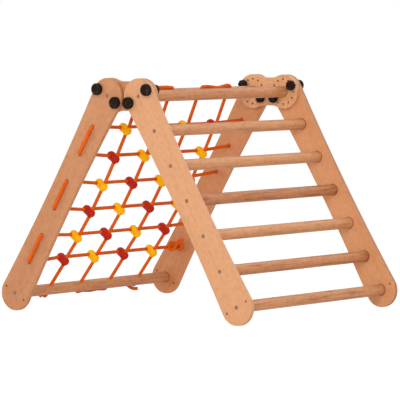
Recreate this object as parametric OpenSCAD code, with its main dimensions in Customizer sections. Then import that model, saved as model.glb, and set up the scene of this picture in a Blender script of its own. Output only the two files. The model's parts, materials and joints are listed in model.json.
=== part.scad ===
// Folding climbing triangle: a ladder side and a rope-net side, framed in round-ended
// timber rails. Two drilled plates hinge both sides on their top dowels, and lock bolts
// hold them open. Millimetres. X runs from the net side to the ladder side, Y along the
// rungs and Z up. The origin is on the floor, under the middle of the frame.

/* [Frame] */
// Width over the outer faces of the rails
frame_width = 790; // [560:10:1000]
// Angle between each side and the floor
leg_angle = 59.4; // [50:0.1:72]
// Distance between the two hinge axes
pivot_spacing = 120; // [112:1:150]

/* [Rails] */
// Thickness of the rail boards
rail_thickness = 15; // [13:1:24]
// Radius of a rail's round ends
end_radius = 55; // [50:1:56]
// Width of a rail at its waist, half way along
waist_width = 92; // [76:1:98]

/* [Rungs] */
// Number of rungs in the ladder, with the one at the hinge
rung_count = 7; // [5:1:9]
// Distance from rung to rung
rung_pitch = 120; // [100:5:140]
// Diameter of the rungs and of the net's two bars
rung_diameter = 35; // [28:1:40]
// Depth of the blind recess that a rung's end seats in
rung_recess = 8; // [5:0.5:9]
// Radial clearance of a rung's end in its recess
rung_fit = 0.1; // [0.05:0.01:0.2]

/* [Screws] */
// Diameter of a rung screw's head
screw_head = 12.6; // [8:0.1:14]
// Height of a rung screw's head
screw_head_height = 2.6; // [2:0.1:3]
// Diameter of a rung screw's shank
screw_shank = 4; // [3:0.5:6]
// Length of a rung screw below its head
screw_length = 40; // [25:1:60]
// Depth of the recess that a screw's head sits in
screw_recess = 3; // [3:0.1:4]
// Width across flats of a screw's key socket
screw_key = 4; // [2:0.5:5]

/* [Hinge plates] */
// Thickness of a hinge plate
plate_thickness = 15; // [10:1:20]
// Radius of a plate's two round ends
plate_radius = 55; // [50:1:56]
// Width of a plate between its ends
plate_waist = 90; // [70:1:96]
// Radius of the blend from a plate's round end to its waist
plate_blend = 60; // [50:1:80]
// Radius of the ring of lock holes about each hinge axis
ring_radius = 40; // [34:0.5:42]
// Number of lock holes in a ring
ring_holes = 12; // [6:2:14]
// Radial clearance of a plate on the dowel it turns about
pivot_fit = 0.08; // [0.05:0.01:0.1]
// Side gap between pieces that turn against each other
side_gap = 0.3; // [0.2:0.1:0.5]

/* [Lock bolts] */
// Diameter of a lock bolt
bolt_diameter = 6; // [4:1:8]
// Radial clearance of a lock bolt in its holes
bolt_fit = 0.5; // [0.3:0.1:0.8]
// Diameter of the round knob on a lock bolt
knob_diameter = 36.5; // [28:0.5:37]
// Height of the knob
knob_height = 12; // [11:0.5:16]
// Number of grooves round the knob
knob_grooves = 24; // [16:2:30]
// Diameter of the nut on a lock bolt
nut_diameter = 32; // [24:0.5:34]
// Height of the nut
nut_height = 12; // [8:0.5:14]
// Number of finger grooves round the nut
nut_grooves = 8; // [6:1:10]

/* [Net] */
// Number of ropes across
net_rows = 6; // [4:2:6]
// Number of ropes down
net_columns = 4; // [2:2:4]
// Distance along the rail from the top bar to the first rope across
first_row = 110; // [100:1:120]
// Distance from one rope across to the next
row_pitch = 99; // [90:1:100]
// Distance from one rope down to the next
column_pitch = 152; // [130:1:160]
// Diameter of the rope
rope_diameter = 10.5; // [8:0.5:10.5]
// Radial clearance of the rope in the holes of rails and bars
rope_fit = 0.5; // [0.4:0.1:1]

/* [Net beads] */
// Diameter of each of a bead's two lobes
bead_lobe = 26; // [25:0.5:28]
// Distance between the two rope holes of a bead
bead_pitch = 19.5; // [19:0.5:22]
// Diameter of the neck between the lobes
bead_neck = 22; // [18:0.5:24]
// Radial clearance of the rope in a bead
bead_fit = 0.4; // [0.35:0.05:0.6]

/* [Hidden] */
$fn = 64;
long_arc_fn = 1440;
rope_sides = 8;

leg_length = (rung_count - 1) * rung_pitch;
pivot_height = leg_length * sin(leg_angle) + end_radius;
rail_inner = frame_width / 2 - rail_thickness;
rung_radius = rung_diameter / 2;
rung_reach = rail_inner + rung_recess;
waist_arc = (pow(leg_length / 2, 2) + pow(waist_width / 2, 2) - pow(end_radius, 2))
    / (2 * (end_radius - waist_width / 2));
bolt_radius = bolt_diameter / 2;
lock_hole = bolt_radius + bolt_fit;
groove_radius = 1.3;
finger_radius = 3;
edge_round = 1.5;
blend_lap = 0.02;

// How far each rope across hangs below its holes, and how far it lies inside the plane
// of the rails, row by row from the top.
row_sag = [12, 13, 13, 12, 9, 0];
row_inside = [-7, -2, 1, 1, -3, -10];

// How far each row's beads lean down the net, away from square.
row_lean = [2, 4, 5, 5, 7, 8];

rope_radius = rope_diameter / 2;
rope_hole = rope_radius + rope_fit;
rope_turn = rope_radius + 0.3;
bead_grip = 15;

// How far the rope's links bow out in mid length along a rail. Each link along a bar has
// three points: their shares of its length, how far they bow out, and how far they lie
// inwards of the bar's middle.
row_bow = 1;
column_stops = [[0.25, 0.5, 0.75], [0.25, 0.5, 0.75], [0.2, 0.5, 0.87]];
column_bows = [[2, 2, 2], [1, 3, 1.5], [0.5, -1.3, 3]];
column_lies = [[0, 0, 0], [-6, -4, -6], [1, 7, 0]];

// An overhand stopper knot: a three-lobed loop on a ring, flattened, with its ends
// leaving side by side. The sizes keep the rope clear of itself.
knot_ring = 2.85 * rope_radius;
knot_lobe = 1.375 * rope_radius;
knot_lift = 1.5 * rope_radius;
knot_rise = 1.15 * knot_lift;
knot_lead = 3.5 * rope_radius;
knot_run = 5.5 * rope_radius;
knot_low = 8;
knot_opening = 19;
knot_steps = 24;

// Each end of the rope down is wound into a coil behind the bottom bar, and its tail comes
// forward again under the bar, through these points down from the bar's lower face.
coil_radius = 8;
coil_turns = 1.75;
coil_pitch = 2 * rope_radius + 1.3;
coil_shift = 2.5;
coil_low = 0.5;
coil_out = rung_radius + 13.5;
coil_steps = 28;
near_drop = 6;
near_tail = [[11.5, -14, -11], [13.5, -10.7, -6]];
far_tail = [[13.5, -12.5, -9], [15, -8, -2], [14, -1, 5.5], [9, 7, 12.5]];

ladder_wood = [0.91, 0.67, 0.50];
net_wood = [0.80, 0.56, 0.40];
rung_wood = [0.82, 0.57, 0.41];
black_plastic = [0.10, 0.08, 0.07];
steel = [0.55, 0.55, 0.57];
rope_orange = [0.83, 0.32, 0.08];
bead_yellow = [1.00, 0.69, 0.04];
bead_red = [0.73, 0.14, 0.10];

// ---- Places ----
// In a side's own frame X runs down the leg from its hinge axis, Y across the frame, and
// Z square to the side: outwards on the ladder side, inwards on the net side.

module ladder_side() {
    translate([pivot_spacing / 2, 0, pivot_height])
        rotate([0, leg_angle, 0])
            children();
}

module net_side() {
    translate([-pivot_spacing / 2, 0, pivot_height])
        rotate([0, 180 - leg_angle, 0])
            children();
}

// A board of the given thickness from a flat outline in X and Z, with its low face at y.
module board(y, thickness) {
    translate([0, y + thickness, 0])
        rotate([90, 0, 0])
            linear_extrude(thickness)
                children();
}

// A round bar along Y between two heights.
module bar(radius, low, high) {
    translate([0, low, 0])
        rotate([-90, 0, 0])
            cylinder(h = high - low, r = radius);
}

// ---- Rails ----

// A rail's outline: two round ends, with a long shallow arc along each edge that runs
// into both ends without a corner.
module rail_outline() {
    arc_centre = waist_width / 2 + waist_arc;
    reach = end_radius / (waist_arc + end_radius);
    joint_x = leg_length / 2 * reach;
    joint_z = arc_centre * reach;
    for (x = [0, leg_length])
        translate([x, 0])
            circle(end_radius);
    difference() {
        translate([joint_x, -joint_z])
            square([leg_length - 2 * joint_x, 2 * joint_z]);
        for (z = [-1, 1])
            translate([leg_length / 2, z * arc_centre])
                circle(waist_arc, $fn = long_arc_fn);
    }
}

// A rail with what both sides share. Side is -1 for near and 1 for far, and seats lists
// where dowels end in it.
module rail(side, seats) {
    difference() {
        board(side < 0 ? -frame_width / 2 : rail_inner, rail_thickness)
            rail_outline();
        for (x = seats)
            translate([x, 0, 0])
                rung_seat(side);
        for (x = [0, leg_length])
            for (z = [-1, 1])
                translate([x, side * (frame_width - rail_thickness) / 2, z * ring_radius])
                    bar(lock_hole, -rail_thickness, rail_thickness);
    }
}

// The cuts for one dowel end: its blind recess, the screw's clearance hole and the
// recess for the screw's head.
module rung_seat(side) {
    outer = frame_width / 2;
    span(side, 0, rung_reach)
        bar(rung_radius + rung_fit, 0, rung_reach);
    span(side, rung_reach - 1, outer)
        bar(screw_shank / 2 + rung_fit, rung_reach - 1, outer);
    span(side, outer - screw_recess, outer + 1)
        bar(screw_head / 2 + rung_fit, outer - screw_recess, outer + 1);
}

// Turns what is drawn on the far side to the near side.
module span(side, low, high) {
    if (side < 0)
        rotate([0, 0, 180])
            children();
    else
        children();
}

function rung_x(i) = (i - 1) * rung_pitch;

function row_x(row) = first_row + (row - 1) * row_pitch;

module ladder_rail(side) {
    color(ladder_wood)
        ladder_side()
            rail(side, [for (i = [1:rung_count]) rung_x(i)]);
}

module net_rail(side) {
    color(net_wood)
        net_side()
            difference() {
                rail(side, [0, leg_length]);
                for (row = [1:net_rows])
                    translate([row_x(row), side * (frame_width - rail_thickness) / 2, 0])
                        bar(rope_hole, -rail_thickness, rail_thickness);
            }
}

// ---- Dowels ----

// A dowel between the rails, with a pilot bore in each end for its screw.
module dowel() {
    bore = screw_length - (frame_width / 2 - screw_recess - rung_reach) + 1;
    difference() {
        bar(rung_radius, -rung_reach, rung_reach);
        for (y = [-1, 1])
            translate([0, y * rung_reach, 0])
                bar(screw_shank / 2 + rung_fit, -bore, bore);
    }
}

module ladder_rung(i) {
    color(rung_wood)
        ladder_side()
            translate([rung_x(i), 0, 0])
                dowel();
}

// The net's bars are drilled along the leg, once for each rope down.
module net_bar(x) {
    color(rung_wood)
        net_side()
            difference() {
                translate([x, 0, 0])
                    dowel();
                for (column = [1:net_columns])
                    translate([x - rung_diameter, column_y(column), 0])
                        rotate([0, 90, 0])
                            cylinder(h = 2 * rung_diameter, r = rope_hole);
            }
}

// ---- Screws ----

// One screw on the far side, its head in the rail's recess and its shank in the dowel.
module screw() {
    seat = frame_width / 2 - screw_recess;
    difference() {
        union() {
            bar(screw_shank / 2, seat - screw_length, seat + screw_head_height);
            bar(screw_head / 2, seat, seat + screw_head_height);
        }
        translate([0, seat + screw_head_height / 2, 0])
            rotate([-90, 0, 0])
                cylinder(h = screw_head_height, r = screw_key / 2 / cos(30), $fn = 6);
    }
}

module screw_row(seats) {
    for (x = seats)
        for (turn = [0, 180])
            translate([x, 0, 0])
                rotate([0, 0, turn])
                    screw();
}

module ladder_screws() {
    color(steel)
        ladder_side()
            screw_row([for (i = [1:rung_count]) rung_x(i)]);
}

module net_screws() {
    color(steel)
        net_side()
            screw_row([0, leg_length]);
}

// ---- Hinge plates ----

// A plate's outline: a round end about each hinge axis, drawn in to a straight waist. The
// six-sided core runs from the hinge axes to the centres of the blends, and each blend
// laps its round end by a hair, so that their edges cross.
module plate_outline() {
    rise = plate_waist / 2 + plate_blend;
    half = pivot_spacing / 2;
    blend_x = half - sqrt(pow(plate_radius + plate_blend - blend_lap, 2) - pow(rise, 2));
    for (x = [-half, half])
        translate([x, 0])
            circle(plate_radius);
    difference() {
        polygon([[half, 0], [blend_x, rise], [-blend_x, rise],
                 [-half, 0], [-blend_x, -rise], [blend_x, -rise]]);
        for (z = [-rise, rise]) {
            for (x = [-blend_x, blend_x])
                translate([x, z])
                    circle(plate_blend);
            translate([0, z])
                square([2 * blend_x, 2 * plate_blend], center = true);
        }
    }
}

// The rings of lock holes are turned so that a hole meets each lock bolt when the frame
// stands open.
module hinge_plate(side) {
    outer = rail_inner - side_gap;
    color(ladder_wood)
        translate([0, 0, pivot_height])
            difference() {
                board(side < 0 ? -outer : outer - plate_thickness, plate_thickness)
                    plate_outline();
                for (x = [-1, 1])
                    translate([x * pivot_spacing / 2, 0, 0]) {
                        bar(rung_radius + pivot_fit, -frame_width, frame_width);
                        for (i = [0:ring_holes - 1])
                            rotate([0, x * (leg_angle - 90 + i * 360 / ring_holes), 0])
                                translate([ring_radius, 0, 0])
                                    bar(lock_hole, -frame_width, frame_width);
                    }
            }
}

// ---- Lock bolts ----

// A round plastic grip with grooves along it and an eased rim at its outer face.
module grip(diameter, height, grooves, groove) {
    difference() {
        union() {
            cylinder(h = height - edge_round, d = diameter);
            cylinder(h = height, d = diameter - 2 * edge_round);
        }
        for (i = [0:grooves - 1])
            rotate(i * 360 / grooves)
                translate([diameter / 2 + groove / 2, 0, -1])
                    cylinder(h = height + 2, r = groove, $fn = 24);
    }
}

// A lock bolt at its place on a side: the knob stands on the rail's outer face, and the
// bolt runs through the rail as far as the hinge plate.
module lock_knob(y, z) {
    color(black_plastic)
        translate([0, 0, z * ring_radius])
            rotate([0, 0, y < 0 ? 180 : 0])
                translate([0, frame_width / 2 + side_gap, 0])
                    rotate([-90, 0, 0]) {
                        grip(knob_diameter, knob_height, knob_grooves, groove_radius);
                        translate([0, 0, -rail_thickness - side_gap])
                            cylinder(h = rail_thickness + 2 * side_gap, r = bolt_radius);
                    }
}

// The four nuts of one side, on the hinge plates' inner faces.
module lock_nuts() {
    face = rail_inner - plate_thickness - 2 * side_gap;
    for (turn = [0, 180])
        for (z = [-1, 1])
            rotate([0, 0, turn])
                translate([0, face, z * ring_radius])
                    rotate([90, 0, 0])
                        difference() {
                            grip(nut_diameter, nut_height, nut_grooves, finger_radius);
                            translate([0, 0, -1])
                                cylinder(h = nut_height / 2 + 1, r = bolt_radius + rung_fit);
                        }
}

// ---- Rope ----

function unit(v) = v / norm(v);

function reversed(list) = [for (i = [len(list) - 1:-1:0]) list[i]];

function joined(lists) = [for (list = lists) for (item = list) item];

function column_y(column) = (column - (net_columns + 1) / 2) * column_pitch;

// The direction of a path at one of its points.
function heading(path, i) =
    unit(path[min(i + 1, len(path) - 1)] - path[max(i - 1, 0)]);

// The part of a vector that is square to a direction, made one long.
function square_to(v, direction) = unit(v - (v * direction) * direction);

// A rope along a path: a ring of corners square to the path at each of its points, each
// turned as little as can be from the ring before it.
module rope(path) {
    last = len(path) - 1;
    n = rope_sides;
    starts = [for (
        i = 0, u = square_to([0.2, 0.3, 1], heading(path, 0));
        i <= last;
        i = i + 1, u = i <= last ? square_to(u, heading(path, i)) : u
    ) u];
    corners = [for (i = [0:last]) for (k = [0:n - 1])
        path[i] + rope_radius * (cos(360 * k / n) * starts[i]
            + sin(360 * k / n) * cross(heading(path, i), starts[i]))];
    walls = [for (i = [0:last - 1]) for (k = [0:n - 1])
        let (a = i * n + k, b = i * n + (k + 1) % n)
            each [[a, b + n, b], [a, a + n, b + n]]];
    ends = [[for (k = [0:n - 1]) k], [for (k = [n - 1:-1:0]) last * n + k]];
    color(rope_orange)
        polyhedron(points = corners, faces = concat(walls, ends), convexity = 10);
}

// The rope's quarter turn round the rim of a hole: edge is where the rim is, out points
// along the hole and away the way that the rope leaves.
function rim_turn(edge, out, away) =
    [for (a = [0:30:90]) edge + rope_turn * (sin(a) * out - cos(a) * away)];

// Points of a stopper knot whose ends lie along one line: ahead is the way the rope
// runs, beside the way the knot's body lies, lift the way it is thick.
function knot(centre, ahead, beside, lift) = [
    for (i = [0:knot_steps])
        let (
            t = knot_opening + i * (360 - 2 * knot_opening) / knot_steps,
            reach = knot_ring + knot_lobe * cos(3 * t)
        )
            centre + reach * sin(2 * t) * ahead
                + (knot_ring + knot_lobe - reach * cos(2 * t)) * beside
                + knot_lift * sin(3 * t) * lift
];

// Where the rope across passes a bead, and where the rope down passes it.
function across_x(row) = row_x(row) + row_sag[row - 1];

function across_z(row) = row_inside[row - 1];

function down_x(row) = across_x(row) + bead_pitch * sin(row_lean[row - 1]);

function down_z(row) = across_z(row) + bead_pitch * cos(row_lean[row - 1]);

// One row of the rope across, from the near side to the far side.
function row_path(row) = concat(
    [[row_x(row), -rail_inner, 0]],
    [for (column = [1:net_columns]) for (end = [-1, 1])
        [across_x(row), column_y(column) + end * bead_grip, across_z(row)]],
    [[row_x(row), rail_inner, 0]]
);

// The rope's link from one row to the next along a rail's outer face.
function row_link(row, side) = concat(
    rim_turn([row_x(row) + rope_hole, side * frame_width / 2, 0], [0, side, 0], [1, 0, 0]),
    [[row_x(row) + row_pitch / 2, side * (frame_width / 2 + rope_turn), row_bow]],
    reversed(rim_turn([row_x(row + 1) - rope_hole, side * frame_width / 2, 0],
        [0, side, 0], [-1, 0, 0]))
);

// The knot that ends the rope across, against the inner face of the far rail.
function across_knot() =
    let (x = row_x(net_rows), y = rail_inner - knot_ring - knot_lobe - knot_lead)
        concat(
            [[x + 1, y - knot_run - 12, -knot_rise - 2],
             [x + knot_low, y - 0.8 * knot_run, -knot_rise]],
            knot([x + knot_low, y, 0], [0, 1, 0], [-1, 0, 0], [0, 0, -1]),
            [[x + knot_low, y + knot_run - 11, knot_rise], [x, rail_inner - 4, 0]]
        );

module net_rope_across() {
    rows = [for (row = [1:net_rows])
        concat(
            row % 2 == 1 ? reversed(row_path(row)) : row_path(row),
            row < net_rows ? row_link(row, row % 2 == 1 ? -1 : 1) : []
        )];
    whole = joined(rows);
    run = [for (i = [0:len(whole) - 2]) whole[i]];
    start = [row_x(1), rail_inner + rail_thickness / 2, 0];
    finish = [row_x(net_rows), rail_inner + rail_thickness / 2, 0];
    net_side()
        rope(concat([start], run, across_knot(), [finish]));
}

// One column of the rope down, from the top bar to the bottom bar.
function column_path(column) = concat(
    [[rung_radius, column_y(column), 0]],
    [for (row = [1:net_rows]) for (end = [-1, 1])
        [down_x(row) + end * bead_grip, column_y(column), down_z(row)]],
    [[leg_length - rung_radius, column_y(column), 0]]
);

// The rope's link from one column to the next, past the top bar or under the bottom one.
function column_link(column, x, way) = concat(
    rim_turn([x + way * rung_radius, column_y(column) + rope_hole, 0], [way, 0, 0], [0, 1, 0]),
    [for (i = [0:2])
        [x + way * (rung_radius + rope_turn + column_bows[column - 1][i]),
         column_y(column) + column_stops[column - 1][i] * column_pitch,
         column_lies[column - 1][i]]],
    reversed(rim_turn([x + way * rung_radius, column_y(column + 1) - rope_hole, 0],
        [way, 0, 0], [0, -1, 0]))
);

// The end of the rope down: it comes down past the bottom bar by the drop, turns outwards
// and is wound into a coil behind the bar, and the tail bends forward again.
function down_end(column, drop, tail) =
    let (x = leg_length + rung_radius, y = column_y(column))
        concat(
            rim_turn([x + drop, y, -rope_hole], [1, 0, 0], [0, 0, -1]),
            [for (i = [0:coil_steps])
                let (a = 360 * coil_turns * i / coil_steps)
                    [x + coil_low + coil_radius * cos(a), y - coil_shift - coil_pitch * a / 360,
                     -coil_out - coil_radius * sin(a)]],
            [for (b = [30:30:90])
                [x + coil_low + coil_radius * sin(b),
                 y - coil_shift - coil_pitch * coil_turns + b / 45,
                 coil_radius * (2 - cos(b)) - coil_out]],
            [for (point = tail) [x, y, 0] + point]
        );

module net_rope_down() {
    columns = [for (column = [1:net_columns])
        concat(
            column % 2 == 1 ? reversed(column_path(column)) : column_path(column),
            column < net_columns
                ? column_link(column, column % 2 == 1 ? 0 : leg_length, column % 2 == 1 ? -1 : 1)
                : []
        )];
    net_side()
        rope(concat(reversed(down_end(1, near_drop, near_tail)), joined(columns),
                    down_end(net_columns, 0, far_tail)));
}

// ---- Beads ----

// A bead with the rope across in its outer lobe and the rope down in its inner lobe.
module bead(row, column) {
    bore = rope_radius + bead_fit;
    difference() {
        translate([across_x(row), column_y(column), across_z(row)])
            rotate([0, row_lean[row - 1], 0]) {
                sphere(d = bead_lobe);
                cylinder(h = bead_pitch, d = bead_neck);
                translate([0, 0, bead_pitch])
                    sphere(d = bead_lobe);
            }
        translate([across_x(row), column_y(column), across_z(row)])
            bar(bore, -bead_lobe, bead_lobe);
        translate([down_x(row) - bead_lobe, column_y(column), down_z(row)])
            rotate([0, 90, 0])
                cylinder(h = 2 * bead_lobe, r = bore);
    }
}

// Yellow and red beads take turns along each row and down each column.
module net_bead(row, column) {
    color((row + column) % 2 == 0 ? bead_yellow : bead_red)
        net_side()
            bead(row, column);
}

// ---- Drawing ----

ladder_rail(-1);  // ladder_rail_near
ladder_rail(1);  // ladder_rail_far
for (i = [1:rung_count])
    ladder_rung(i);
ladder_screws();
net_rail(-1);  // net_rail_near
net_rail(1);  // net_rail_far
net_bar(0);  // net_top_bar
net_bar(leg_length);  // net_bottom_bar
net_screws();
hinge_plate(-1);  // hinge_plate_near
hinge_plate(1);  // hinge_plate_far
ladder_side() lock_knob(-1, 1);  // lock_knob_ladder_near_high
ladder_side() lock_knob(-1, -1);  // lock_knob_ladder_near_low
ladder_side() lock_knob(1, 1);  // lock_knob_ladder_far_high
ladder_side() lock_knob(1, -1);  // lock_knob_ladder_far_low
net_side() lock_knob(-1, -1);  // lock_knob_net_near_high
net_side() lock_knob(-1, 1);  // lock_knob_net_near_low
net_side() lock_knob(1, -1);  // lock_knob_net_far_high
net_side() lock_knob(1, 1);  // lock_knob_net_far_low
color(black_plastic) ladder_side() lock_nuts();  // ladder_lock_nuts
color(black_plastic) net_side() lock_nuts();  // net_lock_nuts
net_rope_across();
net_rope_down();
for (row = [1:net_rows])
    for (column = [1:net_columns])
        net_bead(row, column);
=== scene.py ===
"""Looks of the folding climbing triangle: beech boards and dowels, a laced rope net with
ribbed beads, and black lock knobs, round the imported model. Lengths are in metres.

X runs from the net side to the ladder side, Y along the rungs and Z up. Each side also
has a frame of its own: down the leg from its hinge axis, across the frame, and square to
the side, which is outwards on the ladder side and inwards on the net side.
"""

from __future__ import annotations

import json
import logging
import math
from collections.abc import Callable
from dataclasses import dataclass, field, replace
from enum import Enum

import bmesh
import bpy
import numpy as np
from bpy.types import ID, Material, Mesh, Node, NodeSocket, NodeTree, Object
from mathutils import Euler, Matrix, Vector

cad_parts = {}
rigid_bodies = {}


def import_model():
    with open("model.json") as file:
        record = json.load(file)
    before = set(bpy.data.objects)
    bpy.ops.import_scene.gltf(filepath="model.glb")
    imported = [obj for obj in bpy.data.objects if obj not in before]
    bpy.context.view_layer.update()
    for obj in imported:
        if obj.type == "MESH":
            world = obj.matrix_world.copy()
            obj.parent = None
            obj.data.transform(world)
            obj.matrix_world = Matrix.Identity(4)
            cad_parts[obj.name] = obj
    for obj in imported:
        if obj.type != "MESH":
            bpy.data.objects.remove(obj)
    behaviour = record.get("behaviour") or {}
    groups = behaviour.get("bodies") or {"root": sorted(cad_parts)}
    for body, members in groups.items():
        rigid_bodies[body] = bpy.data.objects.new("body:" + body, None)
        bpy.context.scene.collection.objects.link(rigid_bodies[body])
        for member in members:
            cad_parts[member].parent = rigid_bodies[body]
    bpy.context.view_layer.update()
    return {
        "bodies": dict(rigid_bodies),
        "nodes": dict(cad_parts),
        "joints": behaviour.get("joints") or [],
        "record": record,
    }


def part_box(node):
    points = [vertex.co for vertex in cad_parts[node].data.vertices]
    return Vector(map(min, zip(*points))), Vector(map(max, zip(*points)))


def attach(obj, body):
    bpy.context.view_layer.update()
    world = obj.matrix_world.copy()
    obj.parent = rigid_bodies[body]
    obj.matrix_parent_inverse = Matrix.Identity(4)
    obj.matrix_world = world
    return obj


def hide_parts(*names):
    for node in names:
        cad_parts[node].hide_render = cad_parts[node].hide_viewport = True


log = logging.getLogger("climbing_triangle")

MM = 0.001
TONE_POWERS = (1.0, 1.7, 2.4, 0.0)
PITH_OFFSET = 0.11
PITH_BEND = 0.09
RING_RATE = 520.0
BOARD_STEP = Vector((0.37, 0.061, 0.113))
BRAID_STRANDS = 4
BRAID_LEAD = 0.75
SMOOTH_ANGLE = math.radians(40.0)
MAP_NAME = "map"
FACE_STEPS = ((0, 0), (0, 1), (1, 1), (1, 0))

Array = np.ndarray
Colour = tuple[float, float, float, float]
Row = tuple[float, ...]
Points = tuple[Row, ...]


# ---- Colours and finishes ----


def linear(red: int, green: int, blue: int) -> Colour:
    """Turns a colour as seen on a screen into the renderer's linear values.

    Args:
        red, green, blue: The colour's parts, from 0 to 255.

    Returns:
        The linear colour with an alpha of one.
    """

    def part(value: float) -> float:
        """Turns one of the colour's parts."""
        value /= 255.0
        return value / 12.92 if value <= 0.04045 else ((value + 0.055) / 1.055) ** 2.4

    return (part(red), part(green), part(blue), 1.0)


class Grain(Enum):
    """The way that the grain runs, as the turn about Y or Z that brings it to X."""

    LADDER_LEG = (0.0, math.radians(-59.4), 0.0)
    NET_LEG = (0.0, math.radians(-120.6), 0.0)
    PLATE = (0.0, 0.0, 0.0)
    DOWEL = (0.0, 0.0, math.radians(-90.0))


@dataclass(frozen=True)
class Timber:
    """One kind of wood: its pale and its deep colour, and how strongly each mark shows."""

    pale: Colour
    deep: Colour
    rings: float = 0.45
    fibres: float = 0.5
    flecks: float = 0.5
    streaks: float = 0.1
    roughness: float = 0.5
    # How much the edge faces are darkened to the seam brown: painted shade.
    rim: float = 0.0

    def toned(self, tone: float, streaks: float) -> Timber:
        """Gives another piece of the same wood, paler or else darker and redder.

        Args:
            tone: What the red part is multiplied by. The green part gets its 1.7th power
                and the blue part its 2.4th.
            streaks: How strongly its streaks show.

        Returns:
            The wood.
        """
        pale, deep = (tuple(part * tone**power for part, power in
                            zip(colour, TONE_POWERS))
                      for colour in (self.pale, self.deep))
        return replace(self, pale=pale, deep=deep, streaks=streaks)


@dataclass(frozen=True)
class Holes:
    """A row of holes in a board, which other pieces enter, with a dark seam round each:
    partly the joint's gap and partly painted shade.

    First and last are the end holes' distances down the leg from the pivot, and face is
    how far from the middle of the frame the seams still show.
    """

    pivot: Array
    first: float
    last: float
    pitch: float
    radius: float
    face: float
    width: float = 3.0 * MM


@dataclass(frozen=True)
class Skin:
    """A moulded or plated skin: its colour, roughness, texture, highlights and metal."""

    colour: Colour
    roughness: float
    texture: float
    gloss: float
    depth: float = 0.1 * MM
    metal: float = 0.0


LADDER_BOARD = Timber(linear(213, 156, 112), linear(192, 129, 84), rings=0.08, fibres=0.3)
NET_BOARD = Timber(linear(198, 137, 94), linear(173, 110, 68), rings=0.08, fibres=0.3)
# The far ladder and net boards are the same woods as the near ones, with colours of their own
# matched to how the far inner faces are lit: painted light. The far ladder board's rim
# darkens its edge faces: painted shade.
FAR_LADDER_BOARD = Timber(linear(216, 154, 107), linear(194, 127, 80), rings=0.08,
                          fibres=0.3, rim=0.6)
FAR_NET_BOARD = Timber(linear(212, 144, 96), linear(185, 117, 69), rings=0.08, fibres=0.3)
FAR_PLATE_BOARD = Timber(linear(223, 167, 118), linear(198, 133, 91), rings=0.2)
# The near plate is a darker copy of the far plate's wood: painted shade on its outer face.
SHADED_NEAR_PLATE_BOARD = FAR_PLATE_BOARD.toned(0.82, 0.1)
DOWEL_WOOD = Timber(linear(213, 151, 103), linear(169, 105, 62), rings=0.15)
# Brown of the seams round entering pieces, partly their gaps and partly painted shade, and of
# the painted shade on board edges.
SEAM_SHADE_BROWN = linear(112, 60, 32)
DUST = (0.6, 0.55, 0.5, 1.0)
WHITE = (1.0, 1.0, 1.0, 1.0)
BLACK = Skin(linear(30, 17, 9), 0.6, 0.25, gloss=0.09)
YELLOW = Skin(linear(255, 187, 0), 0.4, 0.06, gloss=0.08)
RED = Skin(linear(184, 34, 12), 0.4, 0.06, gloss=0.12)
STEEL = Skin(linear(146, 114, 92), 0.5, 0.3, gloss=0.3, depth=0.05 * MM, metal=0.4)


@dataclass
class Value:
    """An output in a shader tree, whose arithmetic adds nodes to the tree."""

    graph: Graph
    socket: NodeSocket

    def __add__(self, other: object) -> Value:
        """Returns the sum."""
        return self.graph.math("ADD", self, other)

    def __sub__(self, other: object) -> Value:
        """Returns the difference."""
        return self.graph.math("SUBTRACT", self, other)

    def __rsub__(self, other: float) -> Value:
        """Returns what is left of a number."""
        return self.graph.math("SUBTRACT", other, self)

    def __mul__(self, other: object) -> Value:
        """Returns the product."""
        return self.graph.math("MULTIPLY", self, other)

    def __abs__(self) -> Value:
        """Returns the value without its sign."""
        return self.graph.math("ABSOLUTE", self)


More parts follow.
